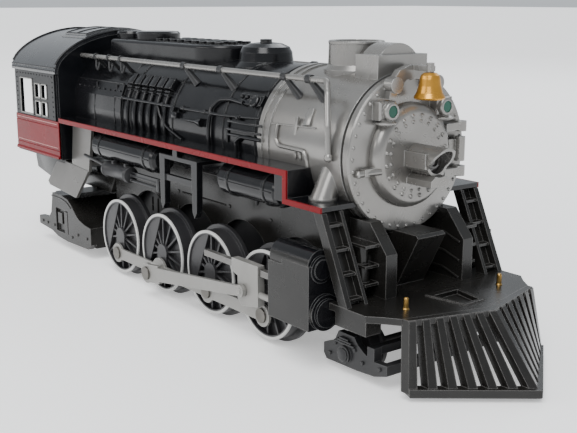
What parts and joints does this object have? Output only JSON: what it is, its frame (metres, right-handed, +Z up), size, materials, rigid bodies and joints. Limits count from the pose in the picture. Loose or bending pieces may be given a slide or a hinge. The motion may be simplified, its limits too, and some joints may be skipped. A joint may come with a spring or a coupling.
{
  "type": "toy steam locomotive",
  "caption": "Battery toy steam locomotive with turning spoked drivers, coupling rods, swivelling trucks, open-backed cab, slatted pilot, bell, headlight and motor drive.",
  "frame": {"origin": "on the floor under the middle of the engine's length and width", "axes": "+X forward along the boiler to the pilot, +Y to the engine's left side, +Z up"},
  "size_m": [0.387, 0.1084, 0.132],
  "materials": {
    "black_plastic": "gloss black",
    "dark_plastic": "satin near-black",
    "silver_plastic": "silver-grey",
    "red_plastic": "gloss dark red",
    "wheel_plastic": "dark centre, light rim",
    "gold_paint": "gold paint",
    "green_lens": "clear green",
    "lamp_plastic": "dark clear",
    "steel": "nickel-plated",
    "brass": "turned",
    "gear_plastic": "natural nylon",
    "cell_wrap": "wrapped, no markings"
  },
  "bodies": {
    "chassis": {"chassis_frame": "dark_plastic", "keeper_plate": "dark_plastic", "chassis_screws": "steel", "side_skirts": "dark_plastic", "boiler_shell": "black_plastic", "smokebox_shell": "silver_plastic", "smokebox_front": "silver_plastic", "smokebox_door": "silver_plastic", "headlight_housing": "silver_plastic", "headlight_lens": "lamp_plastic", "marker_lenses": "green_lens", "bell": "gold_paint", "bell_bracket": "silver_plastic", "stack": "silver_plastic", "feedwater_heater": "silver_plastic", "dome_housing": "black_plastic", "domes": "black_plastic", "cab_shell": "black_plastic", "cab_roof": "black_plastic", "cab_side_panels": "red_plastic", "running_boards": "black_plastic", "edge_stripes": "red_plastic", "firebox_sides": "silver_plastic", "air_tanks": "black_plastic", "valve_gear_hangers": "black_plastic", "handrails": "silver_plastic", "cylinder_blocks": "black_plastic", "guide_bars": "silver_plastic", "ladders": "black_plastic", "pump_shields": "black_plastic", "front_deck": "black_plastic", "pilot": "black_plastic", "pilot_posts": "brass", "motor": "steel", "gearbox_case": "dark_plastic", "battery_box": "dark_plastic", "battery_cells": "cell_wrap", "battery_door": "dark_plastic"},
    "axle_1": {"driver_axle_1": "steel", "driver_wheels_1": "wheel_plastic"},
    "axle_2": {"driver_axle_2": "steel", "driver_wheels_2": "wheel_plastic"},
    "axle_3": {"driver_axle_3": "steel", "driver_wheels_3": "wheel_plastic"},
    "axle_4": {"driver_axle_4": "steel", "driver_wheels_4": "wheel_plastic"},
    "side_rod_right": {"side_rod_right": "silver_plastic"},
    "main_rod_right": {"main_rod_right": "silver_plastic"},
    "crosshead_right": {"crosshead_right": "silver_plastic"},
    "side_rod_left": {"side_rod_left": "silver_plastic"},
    "main_rod_left": {"main_rod_left": "silver_plastic"},
    "crosshead_left": {"crosshead_left": "silver_plastic"},
    "lead_truck": {"lead_truck_frame": "dark_plastic"},
    "lead_wheels": {"lead_wheelset": "wheel_plastic"},
    "trailing_truck": {"trailing_truck_frame": "dark_plastic"},
    "trailing_wheels": {"trailing_wheelset": "wheel_plastic"},
    "drawbar": {"drawbar": "dark_plastic"},
    "power_switch": {"power_switch": "dark_plastic"},
    "idler": {"idler_gear": "gear_plastic"},
    "pinion": {"motor_pinion": "gear_plastic"}
  },
  "joints": [
    {"name": "axle_2_spin", "type": "hinge", "parent": "chassis", "child": "axle_2", "pos_m": [-0.0137, 0, 0.0223], "axis": [0, 1, 0], "continuous": true},
    {"name": "axle_1_spin", "type": "hinge", "parent": "chassis", "child": "axle_1", "pos_m": [-0.0587, 0, 0.0223], "axis": [0, 1, 0], "continuous": true},
    {"name": "axle_3_spin", "type": "hinge", "parent": "chassis", "child": "axle_3", "pos_m": [0.0313, 0, 0.0223], "axis": [0, 1, 0], "continuous": true},
    {"name": "axle_4_spin", "type": "hinge", "parent": "chassis", "child": "axle_4", "pos_m": [0.0763, 0, 0.0223], "axis": [0, 1, 0], "continuous": true},
    {"name": "side_rod_right_swing", "type": "hinge", "parent": "axle_2", "child": "side_rod_right", "pos_m": [-0.01419, -0.0453, 0.01301], "axis": [0, 1, 0], "continuous": true},
    {"name": "main_rod_right_swing", "type": "hinge", "parent": "axle_2", "child": "main_rod_right", "pos_m": [-0.01419, -0.0523, 0.01301], "axis": [0, 1, 0], "continuous": true},
    {"name": "side_rod_left_swing", "type": "hinge", "parent": "axle_2", "child": "side_rod_left", "pos_m": [-0.00441, 0.0453, 0.02181], "axis": [0, 1, 0], "continuous": true},
    {"name": "main_rod_left_swing", "type": "hinge", "parent": "axle_2", "child": "main_rod_left", "pos_m": [-0.00441, 0.0523, 0.02181], "axis": [0, 1, 0], "continuous": true},
    {"name": "crosshead_right_slide", "type": "slide", "parent": "chassis", "child": "crosshead_right", "axis": [1, 0, 0], "range_m": [-0.0082, 0.0104]},
    {"name": "crosshead_left_slide", "type": "slide", "parent": "chassis", "child": "crosshead_left", "axis": [1, 0, 0], "range_m": [-0.0186, 0]},
    {"name": "idler_spin", "type": "hinge", "parent": "chassis", "child": "idler", "pos_m": [-0.0097, 0, 0.0419], "axis": [0, 1, 0], "continuous": true},
    {"name": "pinion_spin", "type": "hinge", "parent": "chassis", "child": "pinion", "pos_m": [-0.0097, 0, 0.0549], "axis": [0, 1, 0], "continuous": true},
    {"name": "lead_truck_swivel", "type": "hinge", "parent": "chassis", "child": "lead_truck", "pos_m": [0.128, 0, 0.016], "axis": [0, 0, 1], "range_deg": [-8, 8]},
    {"name": "lead_wheels_spin", "type": "hinge", "parent": "lead_truck", "child": "lead_wheels", "pos_m": [0.1254, 0, 0.01], "axis": [0, 1, 0], "continuous": true},
    {"name": "trailing_truck_swivel", "type": "hinge", "parent": "chassis", "child": "trailing_truck", "pos_m": [-0.104, 0, 0.024], "axis": [0, 0, 1], "range_deg": [-6, 6]},
    {"name": "trailing_wheels_spin", "type": "hinge", "parent": "trailing_truck", "child": "trailing_wheels", "pos_m": [-0.134, 0, 0.013], "axis": [0, 1, 0], "continuous": true},
    {"name": "drawbar_swing", "type": "hinge", "parent": "chassis", "child": "drawbar", "pos_m": [-0.17, 0, 0.034], "axis": [0, 0, 1], "range_deg": [-30, 30]},
    {"name": "power_switch_slide", "type": "slide", "parent": "chassis", "child": "power_switch", "axis": [0, 1, 0], "range_m": [0, 0.004]}
  ],
  "couplings": [
    {"joint": "axle_1_spin", "follows": "axle_2_spin", "ratio": 1},
    {"joint": "axle_3_spin", "follows": "axle_2_spin", "ratio": 1},
    {"joint": "axle_4_spin", "follows": "axle_2_spin", "ratio": 1},
    {"joint": "side_rod_right_swing", "follows": "axle_2_spin", "ratio": -1},
    {"joint": "main_rod_right_swing", "follows": "axle_2_spin", "ratio": -1},
    {"joint": "side_rod_left_swing", "follows": "axle_2_spin", "ratio": -1},
    {"joint": "main_rod_left_swing", "follows": "axle_2_spin", "ratio": -1},
    {"joint": "idler_spin", "follows": "axle_2_spin", "ratio": -1.5},
    {"joint": "pinion_spin", "follows": "axle_2_spin", "ratio": 2.4}
  ]
}
